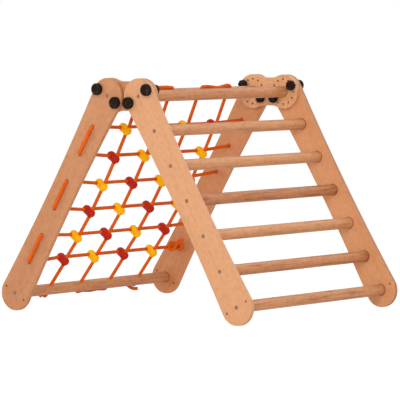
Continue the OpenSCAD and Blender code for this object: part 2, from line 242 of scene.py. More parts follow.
@dataclass
class Graph:
    """A small hand for building shader nodes, in a material, a world or a group."""

    tree: NodeTree

    @classmethod
    def cleared(cls, block: ID) -> Graph:
        """Empties the node tree of a material or a world.

        Args:
            block: The material or world.

        Returns:
            A graph over its tree.
        """
        block.use_nodes = True
        block.node_tree.nodes.clear()
        return cls(block.node_tree)

    def node(self, kind: str, **settings: object) -> Node:
        """Adds a node.

        Args:
            kind: Its type name, without the leading ShaderNode.
            **settings: Values for its own properties.

        Returns:
            The node.
        """
        made = self.tree.nodes.new("ShaderNode" + kind)
        for name, value in settings.items():
            setattr(made, name, value)
        return made

    def set(self, node: Node, **inputs: object) -> Node:
        """Sets or links a node's inputs.

        Args:
            node: The node.
            **inputs: For each input, named with underscores for spaces or by its place
                as i0, i1 and so on, what it is set to or the value or socket feeding it.

        Returns:
            The same node.
        """
        for name, value in inputs.items():
            place = name[1:]
            numbered = name[0] == "i" and place.isdigit()
            socket = node.inputs[int(place) if numbered else name.replace("_", " ")]
            value = getattr(value, "socket", value)
            if isinstance(value, NodeSocket):
                self.tree.links.new(value, socket)
            else:
                socket.default_value = value
        return node

    def value(self, node: Node, output: int = 0, **inputs: object) -> Value:
        """Sets or links a node's inputs and returns one of its outputs."""
        return Value(self, self.set(node, **inputs).outputs[output])

    def math(self, operation: str, *values: object) -> Value:
        """Adds a Math node over the given values."""
        return self.value(self.node("Math", operation=operation),
                          **{f"i{i}": value for i, value in enumerate(values)})

    def parts(self, vector: object) -> list[Value]:
        """Returns a vector's three parts."""
        node = self.set(self.node("SeparateXYZ"), i0=vector)
        return [Value(self, part) for part in node.outputs]

    def noise(self, vector: object, scale: float | tuple, detail: float = 2.0,
              distortion: float = 0.0) -> Value:
        """Returns a noise from 0 to 1.

        Args:
            vector: Where it is sampled.
            scale: How fine it is, the same all ways or by the vector's parts.
            detail: Its octaves.
            distortion: How much it is stirred.

        Returns:
            The noise.
        """
        if isinstance(scale, tuple):
            vector = self.value(self.node("VectorMath", operation="MULTIPLY"),
                                i0=vector, i1=scale)
            scale = 1.0
        return self.value(self.node("TexNoise"), Vector=vector, Scale=scale, Detail=detail,
                          Distortion=distortion)

    def ramp(self, value: Value, low: object, high: object) -> Value:
        """Returns 0 where a value is at or under low, 1 at or over high, smoothly between."""
        return self.value(self.node("MapRange", interpolation_type="SMOOTHSTEP"),
                          Value=value, From_Min=low, From_Max=high)

    def mix(self, factor: object, first: object, second: object) -> Value:
        """Returns the mix of two colours."""
        return self.value(self.node("Mix", data_type="RGBA"), output=2, i0=factor, i6=first,
                          i7=second)


class Group(Graph):
    """A graph over a new node group, with its inputs' values and its end node."""

    def __init__(self, name: str, inputs: dict[str, str], outputs: dict[str, str]) -> None:
        """Makes the group.

        Args:
            name: The group's name.
            inputs: For each socket type, without NodeSocket, the names of the inputs.
            outputs: The same for the outputs.
        """
        super().__init__(bpy.data.node_groups.new(name, "ShaderNodeTree"))
        for in_out, sockets in (("INPUT", inputs), ("OUTPUT", outputs)):
            for kind, names in sockets.items():
                for socket in names.split():
                    self.tree.interface.new_socket(name=socket, in_out=in_out,
                                                   socket_type="NodeSocket" + kind)
        source = self.tree.nodes.new("NodeGroupInput")
        self.source = {socket.name: Value(self, socket) for socket in source.outputs}
        self.sink = self.tree.nodes.new("NodeGroupOutput")


def timber_group() -> NodeTree:
    """Builds the timber group.

    The input vector runs along the grain in X. Growth rings are a sine of the distance
    from a pith line that lies off the board, bent by a slow noise. Fibres are a noise
    stretched along the grain, streaks a broader one, and flecks are the peaks of a shorter
    one. A broad and a fine mottling lie over them. End grain, where the face looks along the
    grain, is deeper. The board's rim, its edge faces, is darkened brown as painted shade.
    The seam round an entering piece is brown too, partly the joint's gap and partly painted
    shade.

    Returns:
        The group's tree, with the outputs Colour, Roughness and Height.
    """
    inputs = {"Vector": "Vector Facing", "Color": "Pale Deep",
              "Float": "Rings Fibres Flecks Streaks Roughness Rim Seam"}
    graph = Group("timber_grain", inputs, {"Color": "Colour", "Float": "Roughness Height"})
    source = graph.source
    ramp = graph.ramp

    def grain(along: float, across: float, detail: float = 2.0, stir: float = 0.0) -> Value:
        """Returns a noise with its own fineness along the grain and across it."""
        return graph.noise(source["Vector"], (along, across, across), detail, stir)

    _, side, rise = graph.parts(source["Vector"])
    side = side + PITH_OFFSET
    rise = rise + grain(2.6, 16.0, 3.0) * PITH_BEND
    spread = graph.math("SQRT", side * side + rise * rise)
    ring = ramp(graph.math("SINE", spread * RING_RATE), -0.2, 1.0)
    fibre = grain(9.0, 420.0, 3.0)
    fleck = ramp(grain(170.0, 1500.0, 1.0), 0.62, 0.74)
    along, across, _ = graph.parts(source["Facing"])
    depth = (ring * ramp(grain(5.0, 30.0), 0.4, 0.7) * source["Rings"]
             + ramp(fibre, 0.35, 0.7) * (source["Fibres"] * 0.55)
             + fleck * (source["Flecks"] * 0.5)
             + ramp(grain(3.0, 14.0), 0.35, 0.75) * 0.25
             + ramp(grain(60.0, 90.0), 0.4, 0.7) * 0.3
             + ramp(grain(6.0, 110.0, stir=0.6), 0.5, 0.66) * source["Streaks"]
             + ramp(abs(along), 0.55, 1.0) * 0.45)
    colour = graph.mix(graph.value(graph.node("Clamp"), Value=depth), source["Pale"],
                       source["Deep"])
    # Painted shade: the board's edge faces, whose normals lie square to Y, and the seams
    # round entering pieces, which are also partly their gaps, are darkened toward the brown.
    rim = (1.0 - ramp(abs(across), 0.3, 0.8)) * source["Rim"]
    seam_shade = graph.math("MAXIMUM", source["Seam"], rim)
    graph.set(graph.sink, Colour=graph.mix(seam_shade * 0.7, colour, SEAM_SHADE_BROWN),
              Roughness=source["Roughness"] + fibre * 0.14, Height=fibre * 0.6 - fleck)
    return graph.tree


def seam_shade_group() -> NodeTree:
    """Builds the group that paints shade on the seams round a row of holes in a board.

    The input vector is the place in the board's side: down the leg in X, across in Y and
    square to the side in Z. Along the row the distance to the nearest hole's axis is a
    triangle wave of X, plus what X is short of the first hole or past the last one.

    Returns:
        The group's tree, with the output Seam, which is one at a hole's rim and nothing
        a width away from it or past the face.
    """
    inputs = {"Vector": "Vector", "Float": "First Last Pitch Radius Face Width"}
    graph = Group("hole_seam_shades", inputs, {"Float": "Seam"})
    source = graph.source
    down, across, out = graph.parts(source["Vector"])
    inside = graph.math("MAXIMUM", graph.math("MINIMUM", down, source["Last"]),
                        source["First"])
    wave = graph.math("PINGPONG", inside - source["First"], source["Pitch"] * 0.5)
    near = wave + abs(down - inside)
    spread = graph.math("SQRT", near * near + out * out)
    seam_shade = 1.0 - graph.ramp(spread, source["Radius"], source["Radius"] + source["Width"])
    on_face = graph.math("LESS_THAN", abs(across), source["Face"])
    graph.set(graph.sink, Seam=seam_shade * on_face)
    return graph.tree


def moulding_group() -> NodeTree:
    """Builds the moulded and plated skins' group: a fine relief with a little dust.

    Returns:
        The group's tree, with the outputs Colour, Roughness and Height.
    """
    inputs = {"Vector": "Vector", "Color": "Colour", "Float": "Roughness"}
    graph = Group("moulded_skin", inputs, {"Color": "Colour", "Float": "Roughness Height"})
    source = graph.source
    dust = graph.noise(source["Vector"], 90.0, 4.0)
    pale = graph.mix(0.12, source["Colour"], DUST)
    colour = graph.mix(graph.ramp(dust, 0.5, 0.85) * 0.6, source["Colour"], pale)
    graph.set(graph.sink, Colour=colour, Roughness=source["Roughness"] + dust * 0.12,
              Height=graph.noise(source["Vector"], 1800.0))
    return graph.tree


def braid_group() -> NodeTree:
    """Builds the braided rope group.

    It reads a map whose U is the length along the rope in rope diameters and whose V runs
    once round it. Two families of strands wind round in opposite ways, each a sine of V
    plus or minus U, and their product says which lies on top. Where the product is small,
    in the gaps between strands, the colour is darkened toward the Shade colour as painted
    shade. A random fade and fine threads darken it as well.

    Returns:
        The group's tree, with the outputs Colour, Roughness and Height.
    """
    inputs = {"Vector": "Vector", "Color": "Colour Shade"}
    graph = Group("rope_braid", inputs, {"Color": "Colour", "Float": "Roughness Height"})
    source = graph.source
    along, about, _ = graph.parts(source["Vector"])
    turn = about * (2.0 * math.pi * BRAID_STRANDS)
    run = along * (2.0 * math.pi * BRAID_LEAD)
    strand = abs(graph.math("SINE", turn + run) * graph.math("SINE", turn - run))
    thread = graph.noise(source["Vector"], (30.0, 60.0, 1.0))
    fade = graph.noise(source["Vector"], (0.35, 1.0, 1.0))
    # Painted shade in the gaps between strands, with a random fade and fine threads.
    mark = ((1.0 - graph.ramp(strand, 0.0, 0.5)) * 0.55
            + graph.ramp(fade, 0.4, 0.8) * 0.3 + thread * 0.15)
    graph.set(graph.sink, Colour=graph.mix(mark, source["Colour"], source["Shade"]),
              Roughness=thread * 0.2 + 0.72,
              Height=graph.ramp(strand, 0.0, 0.8) + thread * 0.3)
    return graph.tree


def inputs_of(kind: Timber | Holes) -> dict[str, object]:
    """Returns a kind's values under the names of the group's inputs that they feed."""
    return {name.capitalize(): value for name, value in vars(kind).items()
            if name != "pivot"}


@dataclass
class Finishes:
    """The object's materials, made once each from the shared groups."""

    timber: NodeTree = field(default_factory=timber_group)
    seams: NodeTree = field(default_factory=seam_shade_group)
    moulding: NodeTree = field(default_factory=moulding_group)
    braid: NodeTree = field(default_factory=braid_group)
    # How far before a dowel's entry into a board its painted shade starts, and where it is
    # full.
    seam_reach: float = 4 * MM
    seam_edge: float = 1 * MM
    boards: int = 0

    def start(self, name: str, tree: NodeTree, depth: float, strength: float,
              **settings: float) -> tuple[Material, Graph, Node]:
        """Starts a material that places one shared group on a surface.

        Args:
            name: The material's name.
            tree: The group.
            depth: The height that a value of one stands for in the group's relief.
            strength: How much of the relief shows.
            **settings: Values for the surface shader's other inputs.

        Returns:
            The material, its graph and the group's node.
        """
        material = bpy.data.materials.new(name)
        graph = Graph.cleared(material)
        group = graph.node("Group", node_tree=tree)
        bump = graph.value(graph.node("Bump"), Height=group.outputs["Height"],
                           Distance=depth, Strength=strength)
        surface = graph.value(graph.node("BsdfPrincipled"), Normal=bump,
                              Base_Color=group.outputs["Colour"],
                              Roughness=group.outputs["Roughness"], **settings)
        graph.set(graph.node("OutputMaterial"), Surface=surface)
        return material, graph, group

    def wood(self, name: str, kind: Timber, grain: Grain, holes: Holes | None = None,
             entry: float | None = None) -> Material:
        """Makes the material of one board or dowel, cut from its own place in the tree.

        Args:
            name: The material's name.
            kind: The wood.
            grain: The way that the grain runs.
            holes: A board's row of holes, if it has one.
            entry: The distance from the middle at which a dowel's ends enter the boards.

        Returns:
            The material.
        """
        self.boards += 1
        material, graph, group = self.start(
            name, self.timber, depth=0.25 * MM, strength=0.5, Specular_IOR_Level=0.35)
        where = graph.node("TexCoord").outputs
        turn = graph.value(graph.node("Mapping", vector_type="POINT"),
                           Vector=where["Object"], Rotation=grain.value,
                           Location=BOARD_STEP * self.boards)
        facing = graph.value(graph.node("Mapping", vector_type="NORMAL"),
                             Vector=where["Normal"], Rotation=grain.value)
        graph.set(group, Vector=turn, Facing=facing, **inputs_of(kind))
        # Painted shade round the holes that other pieces enter, with the joints' gaps.
        if holes:
            spot = Euler(grain.value).to_matrix() @ Vector(holes.pivot)
            leg = graph.value(graph.node("Mapping", vector_type="POINT"),
                              Vector=where["Object"], Rotation=grain.value, Location=-spot)
            seams = graph.node("Group", node_tree=self.seams)
            graph.set(group, Seam=graph.value(seams, Vector=leg, **inputs_of(holes)))
        # Painted shade on a dowel, darker towards its ends where they enter the boards, with
        # the joints' gaps.
        if entry:
            across = graph.parts(where["Object"])[1]
            graph.set(group, Seam=graph.ramp(abs(across), entry - self.seam_reach,
                                             entry - self.seam_edge))
        return material

    def skin(self, name: str, kind: Skin) -> Material:
        """Makes the material of a moulded or plated piece.

        Args:
            name: The material's name.
            kind: The skin.

        Returns:
            The material.
        """
        material, graph, group = self.start(
            name, self.moulding, kind.depth, kind.texture, Specular_IOR_Level=kind.gloss,
            Metallic=kind.metal)
        graph.set(group, Vector=graph.node("TexCoord").outputs["Object"],
                  Colour=kind.colour, Roughness=kind.roughness)
        return material

    def rope(self) -> Material:
        """Makes the orange braided rope's material.

        Returns:
            The material.
        """
        material, graph, group = self.start(
            "orange_braid", self.braid, depth=0.6 * MM, strength=0.8,
            Specular_IOR_Level=0.1)
        # Shade is the darker orange painted into the gaps between strands as shade, and into
        # a random fade.
        graph.set(group, Vector=graph.node("UVMap", uv_map=MAP_NAME).outputs[0],
                  Colour=linear(240, 106, 20), Shade=linear(190, 69, 10))
        return material


# ---- Shapes as arrays ----


def unit(vectors: Array) -> Array:
    """Returns vectors with each of them made one long."""
    return vectors / np.linalg.norm(vectors, axis=-1, keepdims=True)


def round_angles(count: int) -> Array:
    """Returns angles at even steps once round, without the last that meets the first."""
    return np.linspace(0.0, 2.0 * np.pi, count, endpoint=False)


def lengths_along(path: Array) -> Array:
    """Returns how far along a path each of its points is."""
    steps = np.linalg.norm(np.diff(path, axis=0), axis=1)
    return np.concatenate([[0.0], np.cumsum(steps)])


def linked(name: str, data: ID) -> Object:
    """Makes an object and puts it in the scene.

    Args:
        name: The object's name.
        data: Its mesh, light or camera.

    Returns:
        The object.
    """
    made = bpy.data.objects.new(name, data)
    bpy.context.scene.collection.objects.link(made)
    return made


@dataclass
class Surface:
    """A mesh in the making: vertices, faces as runs of loops, and a map per loop."""

    points: list[Array] = field(default_factory=list)
    loops: list[Array] = field(default_factory=list)
    sizes: list[Array] = field(default_factory=list)
    maps: list[Array] = field(default_factory=list)
    count: int = 0

    def sheet(self, grid: Array, along: Array | None = None, closed: bool = False) -> None:
        """Adds a grid of rings, each closed on itself.

        Face (i, j) joins ring i to the next one between corners j and j + 1. The map's V
        runs once round each ring.

        Args:
            grid: Points, of shape (rings, corners, 3).
            along: The map's U at each ring.
            closed: Whether the last ring joins the first. Otherwise each of the two is
                capped with one face.
        """
        rings, corners = grid.shape[:2]
        rows = np.arange(rings if closed else rings - 1)[:, None]
        turns = np.arange(corners)
        along = np.linspace(0.0, 1.0, rings + 1) if along is None else along
        across = np.linspace(0.0, 1.0, corners + 1)
        chart = np.stack(np.meshgrid(along, across, indexing="ij"), axis=-1)
        quads = np.stack([(rows + up) % rings * corners + (turns + on) % corners
                          for up, on in FACE_STEPS], axis=-1)
        flat = np.stack([chart[rows + up, turns + on] for up, on in FACE_STEPS], axis=2)
        self.points.append(grid.reshape(-1, 3))
        self.loops.append(quads.reshape(-1) + self.count)
        self.sizes.append(np.full(rows.size * corners, 4))
        self.maps.append(flat.reshape(-1, 2))
        if not closed:
            first = np.arange(corners)[::-1]
            last = np.arange(corners) + (rings - 1) * corners
            self.loops.append(np.concatenate([first, last]) + self.count)
            self.sizes.append(np.array([corners, corners]))
            self.maps.append(np.zeros((2 * corners, 2)))
        self.count += rings * corners

    def build(self, name: str, material: Material, node: str, body: str) -> Object:
        """Makes the object, smooth but where its faces meet at a sharp angle.

        Args:
            name: The object's name.
            material: Its one material.
            node: The node that it stands for.
            body: The body that it rides on.

        Returns:
            The object, at the origin.
        """
        points, loops, sizes, maps = (np.concatenate(runs) for runs in (
            self.points, self.loops, self.sizes, self.maps))
        mesh = bpy.data.meshes.new(name)
        mesh.vertices.add(len(points))
        mesh.vertices.foreach_set("co", points.astype(np.float32).ravel())
        mesh.loops.add(len(loops))
        mesh.loops.foreach_set("vertex_index", loops.astype(np.int32))
        mesh.polygons.add(len(sizes))
        starts = np.concatenate([[0], np.cumsum(sizes)[:-1]])
        mesh.polygons.foreach_set("loop_start", starts.astype(np.int32))
        layer = mesh.uv_layers.new(name=MAP_NAME)
        mesh.update(calc_edges=True)
        layer.data.foreach_set("uv", maps.astype(np.float32).ravel())
        mesh.polygons.foreach_set("use_smooth", np.ones(len(sizes), bool))
        mesh.validate()
        mesh.set_sharp_from_angle(angle=SMOOTH_ANGLE)
        mesh.materials.append(material)
        made = linked(name, mesh)
        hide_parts(node)
        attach(made, body)
        return made


@dataclass(frozen=True)
class Place:
    """A frame of reference: its origin and three directions, each one long."""

    origin: Array
    first: Array
    second: Array
    third: Array

    def of(self, local: Array | list[float]) -> Array:
        """Returns points given in this frame as points of the whole model."""
        axes = np.stack([self.first, self.second, self.third])
        return self.origin + np.asarray(local) @ axes


def all_round(radii: Array, corners: int) -> Array:
    """Returns rings' radii repeated for every corner, as a plain round profile has."""
    return np.repeat(radii[:, None], corners, axis=1)


def turned(place: Place, profile: Array, radii: Array) -> Array:
    """Spins a profile about a place's third direction.

    A point is origin + r (cos a first + sin a second) + h third, for the profile's height
    h, the radius r given for each height and each angle, and the angle a.

    Args:
        place: Where the axis is.
        profile: The heights, one for each ring.
        radii: The radii, of shape (rings, corners).

    Returns:
        The grid of points.
    """
    angle = round_angles(radii.shape[1])
    return place.of(np.stack([radii * np.cos(angle), radii * np.sin(angle),
                              np.broadcast_to(profile[:, None], radii.shape)], axis=-1))


def softened(path: Array, step: float, reach: float) -> Array:
    """Rounds the corners of a path, as a rope does.

    The path is sampled evenly and each point becomes the mean of its neighbours under a
    bell curve, with the path carried straight on past both ends.

    Args:
        path: The points.
        step: The distance from sample to sample.
        reach: The bell curve's width along the path.

    Returns:
        The rounded path.
    """
    length = lengths_along(path)
    count = max(int(round(length[-1] / step)), 2)
    where = np.linspace(0.0, length[-1], count + 1)
    fine = np.stack([np.interp(where, length, path[:, k]) for k in range(3)], axis=1)
    side = int(math.ceil(3.0 * reach / step))
    offsets = np.arange(-side, side + 1)
    weights = np.exp(-0.5 * (offsets * step / reach) ** 2)
    weights /= weights.sum()
    before = fine[0] - (fine[1] - fine[0]) * np.arange(side, 0, -1)[:, None]
    after = fine[-1] + (fine[-1] - fine[-2]) * np.arange(1, side + 1)[:, None]
    padded = np.concatenate([before, fine, after])
    return np.stack([np.convolve(padded[:, k], weights, "valid") for k in range(3)], axis=1)


def tube(path: Array, radius: Array) -> Array:
    """Carries a round section along a path with as little twist as can be.

    Each point gets any direction square to the path. The angle from one such direction,
    laid over to the next point, to the next point's own is summed along the path, and
    each section is turned back by that sum.

    Args:
        path: The centre line.
        radius: The radius at each point and corner, of shape (points, corners).

    Returns:
        The grid of points.
    """

    def dot(first: Array, second: Array) -> Array:
        """Returns the dot products of two rows of vectors."""
        return np.sum(first * second, axis=1, keepdims=True)

    heading = unit(np.gradient(path, axis=0))
    start = np.eye(3)[np.argmin(np.abs(heading), axis=1)]
    side = unit(start - dot(start, heading) * heading)
    other = np.cross(heading, side)
    laid = side[:-1] - dot(side[:-1], heading[1:]) * heading[1:]
    step = np.arctan2(dot(laid, other[1:]), dot(laid, side[1:]))
    phase = np.concatenate([[[0.0]], np.cumsum(step, axis=0)])
    angle = phase + round_angles(radius.shape[1])
    return (path[:, None, :] + (radius * np.cos(angle))[..., None] * side[:, None, :]
            + (radius * np.sin(angle))[..., None] * other[:, None, :])


# ---- The frame of the object ----


@dataclass
class Layout:
    """Sizes that the pieces share, and the frames of the two sides."""

    leg_angle: float = math.radians(59.4)
    rungs: int = 7
    rung_pitch: float = 120 * MM
    rung_radius: float = 17.5 * MM
    leg_length: float = (rungs - 1) * rung_pitch
    rail_outer: float = 395 * MM
    rail_thickness: float = 15 * MM
    rail_inner: float = rail_outer - rail_thickness
    plate_inner: float = rail_inner - rail_thickness
    ring_radius: float = 40 * MM
    side_gap: float = 0.3 * MM
    rows: int = 6
    row_pitch: float = 99 * MM
    first_row: float = 110 * MM
    last_row: float = first_row + (rows - 1) * row_pitch
    rope_hole: float = 5.75 * MM
    ladder_side: Place = field(init=False)
    net_side: Place = field(init=False)

    def __post_init__(self) -> None:
        """Finds the frames of the two sides."""
        self.ladder_side = self.side("ladder_rung_1", self.leg_angle)
        self.net_side = self.side("net_top_bar", math.pi - self.leg_angle)

    def side(self, node: str, slope: float) -> Place:
        """Finds the frame of a side: down the leg, across, and square to the side.

        Args:
            node: The dowel that the side turns on, which the origin is taken from.
            slope: The angle from X down to the leg, about Y.

        Returns:
            The frame.
        """
        low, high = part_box(node)
        origin = np.array((low + high) / 2)
        origin[1] = 0.0
        run, rise = math.cos(slope), math.sin(slope)
        return Place(origin, np.array([run, 0.0, -rise]), np.array([0.0, 1.0, 0.0]),
                     np.array([rise, 0.0, run]))


# ---- Timber ----


@dataclass
class Timbers:
    """Boards with eased edges, and dowels."""

    frame: dict
    finishes: Finishes
    layout: Layout
    ease: float = 2.2 * MM
    hole_ease: float = 0.5 * MM
    ease_steps: int = 4
    flat_angle: float = math.radians(0.5)
    sharp_angle: float = math.radians(50)
    outline_reach: float = 150 * MM
    rung_tones: Row = (0.92, 1.0, 1.02, 0.82, 1.03, 0.9, 0.95)
    rung_streaks: Row = (0.3, 0.25, 0.15, 0.9, 0.35, 0.65, 0.6)

    def eased(self, source: Mesh, name: str) -> Mesh:
        """Copies a board's mesh, with weights for the rounding of its edges.

        The copy's triangles are merged and its flat faces joined. Sharp edges that belong
        to a long run are the board's outline and get the full rounding, and the rims of
        its holes a fine one.

        Args:
            source: The board's mesh.
            name: The copy's name.

        Returns:
            The copy.
        """
        shape = bmesh.new()
        shape.from_mesh(source)
        bmesh.ops.remove_doubles(shape, verts=shape.verts, dist=0.001 * MM)
        bmesh.ops.dissolve_limit(shape, angle_limit=self.flat_angle, verts=shape.verts,
                                 edges=shape.edges)
        weight = shape.edges.layers.float.new("bevel_weight_edge")
        sharp = {edge for edge in shape.edges
                 if len(edge.link_faces) == 2 and edge.calc_face_angle() > self.sharp_angle}
        while sharp:
            run = [sharp.pop()]
            for edge in run:
                beside = {other for corner in edge.verts for other in corner.link_edges}
                run.extend(beside & sharp)
                sharp -= beside
            places = np.array([corner.co for edge in run for corner in edge.verts])
            wide = np.ptp(places, axis=0).max() > self.outline_reach
            for edge in run:
                edge[weight] = 1.0 if wide else self.hole_ease / self.ease
        for face in shape.faces:
            face.smooth = True
        mesh = bpy.data.meshes.new(name)
        shape.to_mesh(mesh)
        shape.free()
        return mesh

    def board(self, node: str, body: str, kind: Timber, grain: Grain,
              holes: Holes | None = None) -> None:
        """Replaces a board by a copy whose edges are eased.

        Args:
            node: The board's node.
            body: The body that it rides on.
            kind: The wood.
            grain: The way that the grain runs.
            holes: Its row of holes, if it has one.
        """
        mesh = self.eased(self.frame["nodes"][node].data, node + "_board")
        mesh.materials.append(self.finishes.wood(node + "_wood", kind, grain, holes))
        made = linked(node + "_board", mesh)
        bevel = made.modifiers.new("eased_edges", "BEVEL")
        bevel.limit_method = "WEIGHT"
        bevel.width = self.ease
        bevel.segments = self.ease_steps
        bevel.miter_outer = "MITER_ARC"
        normals = made.modifiers.new("flat_faces", "WEIGHTED_NORMAL")
        normals.keep_sharp = True
        normals.weight = 100
        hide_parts(node)
        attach(made, body)
        log.info("board %s", node)

    def dowel(self, node: str, tone: float, streaks: float) -> None:
        """Gives a dowel its wood.

        Args:
            node: The dowel's node.
            tone: How pale its wood is, next to the others.
            streaks: How strongly its streaks show.
        """
        through = node in ("ladder_rung_1", "net_top_bar")
        entry = self.layout.plate_inner if through else self.layout.rail_inner
        kind = DOWEL_WOOD.toned(tone, streaks)
        self.dress(node, self.finishes.wood(node + "_wood", kind, Grain.DOWEL, entry=entry))
        log.info("dowel %s", node)

    def dress(self, node: str, material: Material) -> None:
        """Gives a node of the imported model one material.

        Args:
            node: The node's name.
            material: The material.
        """
        slots = self.frame["nodes"][node].data.materials
        slots.clear()
        slots.append(material)

    def build(self) -> None:
        """Dresses every board, dowel and screw."""
        layout = self.layout
        rungs = Holes(layout.ladder_side.origin, 0.0, layout.leg_length, layout.rung_pitch,
                      layout.rung_radius, layout.rail_inner + MM)
        rows = Holes(layout.net_side.origin, layout.first_row, layout.last_row,
                     layout.row_pitch, layout.rope_hole, layout.rail_outer + MM)
        for end, ladder, net, plate in (
                ("near", LADDER_BOARD, NET_BOARD, SHADED_NEAR_PLATE_BOARD),
                ("far", FAR_LADDER_BOARD, FAR_NET_BOARD, FAR_PLATE_BOARD)):
            self.board("ladder_rail_" + end, "ladder_frame", ladder, Grain.LADDER_LEG, rungs)
            self.board("net_rail_" + end, "net_frame", net, Grain.NET_LEG, rows)
            self.board("hinge_plate_" + end, "hinge_plates", plate, Grain.PLATE)
        for number, marks in enumerate(zip(self.rung_tones, self.rung_streaks), start=1):
            self.dowel(f"ladder_rung_{number}", *marks)
        self.dowel("net_top_bar", tone=0.97, streaks=0.3)
        self.dowel("net_bottom_bar", tone=0.95, streaks=0.15)
        steel = self.finishes.skin("zinc_steel", STEEL)
        for node in ("ladder_screws", "net_screws"):
            self.dress(node, steel)


# ---- Lock knobs and nuts ----


@dataclass(frozen=True)
class Drum:
    """The sizes of a grip: radius over its ridges, height, ridges and grooves' depth."""

    radius: float
    height: float
    ridges: int
    groove: float


@dataclass
class Grips:
    """The round black knobs on the lock bolts, and the nuts on their other ends."""

    layout: Layout
    material: Material
    knob_form: Drum = Drum(18.25 * MM, 12 * MM, 24, 0.9 * MM)
    nut_form: Drum = Drum(16 * MM, 12 * MM, 8, 1.6 * MM)
    rim: float = 1.6 * MM
    rim_rings: int = 7
    wall_rings: int = 5
    ridge_corners: int = 8
    pole: float = 0.3 * MM
    dish_radii: Row = (0.8, 0.77, 0.72, 0.66, 0.3, 0.26)
    dish_depths: Row = (0, 0.1, 0.9, 1, 1, 0.6, 0.5)
    bolt_radius: float = 3 * MM
    bolt_seat: float = 0.5 * MM
    thread_rings: int = 34
    thread_corners: int = 24
    thread_depth: float = 0.25 * MM

    def grip(self, form: Drum, spot: Place) -> Array:
        """Works out a grip: a low drum with ridges round it and a dished face.

        The radius at a height is the profile's, less the grooves' depth times the sixth
        power of the cosine of half the ridges' angle, which leaves broad ridges and narrow
        grooves. The grooves fade out on the base and on the face.

        Args:
            form: The grip's sizes.
            spot: Where its base is, with the third direction to its face.

        Returns:
            The grid of points.
        """
        radius, height, rim = form.radius, form.height, self.rim
        bend = np.linspace(0.0, np.pi / 2, self.rim_rings)
        heights = np.concatenate([
            np.zeros(3), rim * 0.5 * (1.0 - np.cos(bend)),
            np.linspace(rim, height - 2 * rim, self.wall_rings),
            height - rim * (1.0 - np.sin(bend)), height - np.array(self.dish_depths) * MM])
        radii = np.concatenate([
            [self.pole, radius * 0.5, radius - 1.2 * rim],
            radius - rim * (1.0 - 0.7 * np.sin(bend)), np.full(self.wall_rings, radius),
            radius - rim * (1.0 - np.cos(bend)), radius * np.array(self.dish_radii),
            [self.pole]])
        reach = np.clip((radii - 0.8 * radius) / (0.15 * radius), 0.0, 1.0)
        angle = round_angles(form.ridges * self.ridge_corners)
        groove = np.abs(np.cos(angle * form.ridges / 2.0)) ** 6
        return turned(spot, heights, radii[:, None] - form.groove * reach[:, None] * groove)

    def knob(self, tail: str, spot: Place) -> None:
        """Makes one knob with its bolt.

        Args:
            tail: The words that its names share: its side, rail and height.
            spot: Its place, with the third direction away from the middle.
        """
        surface = Surface()
        surface.sheet(self.grip(self.knob_form, spot))
        depth = self.layout.rail_thickness + self.layout.side_gap
        run = np.linspace(-depth, self.bolt_seat, self.thread_rings)
        thread = self.bolt_radius - self.thread_depth * (np.arange(self.thread_rings) % 2)
        surface.sheet(turned(spot, run, all_round(thread, self.thread_corners)))
        surface.build("knob_" + tail, self.material, "lock_knob_" + tail, tail + "_lock")
        log.info("knob %s", tail)

    def nuts(self, name: str, side: Place) -> None:
        """Makes the four nuts of one side as one piece.

        Args:
            name: The side's name.
            side: The side's frame.
        """
        surface = Surface()
        face = self.layout.plate_inner - 2 * self.layout.side_gap
        for end in (-1.0, 1.0):
            for square in (-self.layout.ring_radius, self.layout.ring_radius):
                spot = Place(side.of([0.0, end * face, square]), side.first,
                             end * side.third, -end * side.second)
                surface.sheet(self.grip(self.nut_form, spot))
        surface.build(name + "_nuts", self.material, name + "_lock_nuts", name + "_frame")
        log.info("nuts %s", name)

    def build(self) -> None:
        """Makes all the knobs and nuts."""
        outer = self.layout.rail_outer + self.layout.side_gap
        ring = self.layout.ring_radius
        for side_name, side, high in (("ladder", self.layout.ladder_side, ring),
                                      ("net", self.layout.net_side, -ring)):
            for end_name, end in (("near", -1.0), ("far", 1.0)):
                for level, square in (("high", high), ("low", -high)):
                    tail = f"{side_name}_{end_name}_{level}"
                    spot = Place(side.of([0.0, end * outer, square]), end * side.third,
                                 side.first, end * side.second)
                    self.knob(tail, spot)
            self.nuts(side_name, side)


# ---- The net ----


